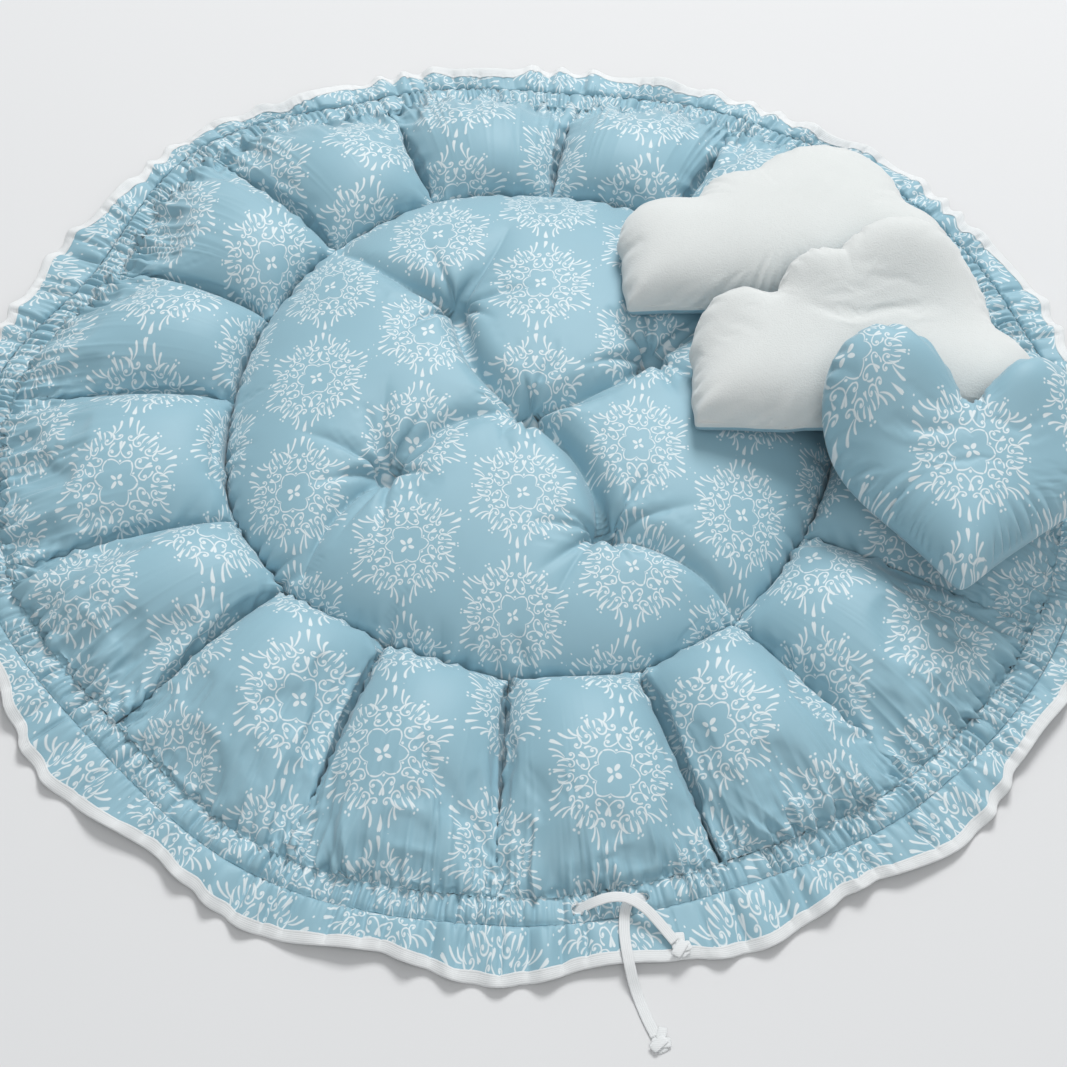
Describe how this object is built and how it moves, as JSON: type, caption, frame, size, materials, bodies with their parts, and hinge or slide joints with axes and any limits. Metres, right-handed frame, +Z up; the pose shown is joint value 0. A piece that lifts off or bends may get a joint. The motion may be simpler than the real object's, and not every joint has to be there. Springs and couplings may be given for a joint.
{
  "type": "infant lounger",
  "caption": "Round quilted floor lounger for a baby: stuffed petals round a tufted centre cushion, a drawstring casing, a bound ruffle and loose cloud and heart pillows.",
  "frame": {"origin": "middle of the flat underside, where the mat rests on the floor", "axes": "+Z up from the floor through the mat's thickness, +Y away from the front, where the drawstring's ends come out, +X to the right seen from the front"},
  "size_m": [1.2245, 1.2177, 0.2027],
  "materials": {
    "printed_cotton": "pale blue cotton sateen printed with white scrolls",
    "plain_cotton": "plain pale blue cotton",
    "white_plush": "fine white plush",
    "white_tape": "white woven cotton tape"
  },
  "bodies": {
    "mat": {"centre_cushion": "printed_cotton", "petal_01": "printed_cotton", "petal_02": "printed_cotton", "petal_03": "printed_cotton", "petal_04": "printed_cotton", "petal_05": "printed_cotton", "petal_06": "printed_cotton", "petal_07": "printed_cotton", "petal_08": "printed_cotton", "petal_09": "printed_cotton", "petal_10": "printed_cotton", "petal_11": "printed_cotton", "petal_12": "printed_cotton", "petal_13": "printed_cotton", "petal_14": "printed_cotton", "petal_15": "printed_cotton", "petal_16": "printed_cotton", "backing_cloth": "plain_cotton", "drawstring_casing": "printed_cotton", "drawstring_loop": "white_tape", "ruffle": "printed_cotton", "hem_binding": "white_tape", "drawstring_tail_left": "white_tape", "drawstring_knot_left": "white_tape", "drawstring_tail_right": "white_tape", "drawstring_knot_right": "white_tape"},
    "cloud_back": {"cloud_pillow_back": "white_plush"},
    "cloud_front": {"cloud_pillow_front": "white_plush"},
    "heart": {"heart_pillow": "printed_cotton"}
  },
  "joints": [
    {"name": "cloud_back_lift", "type": "slide", "parent": "mat", "child": "cloud_back", "axis": [0, 0, 1], "range_m": [0, 0.25]},
    {"name": "cloud_front_lift", "type": "slide", "parent": "cloud_back", "child": "cloud_front", "axis": [0, 0, 1], "range_m": [0, 0.25]},
    {"name": "heart_lift", "type": "slide", "parent": "cloud_front", "child": "heart", "axis": [0, 0, 1], "range_m": [0, 0.25]}
  ]
}
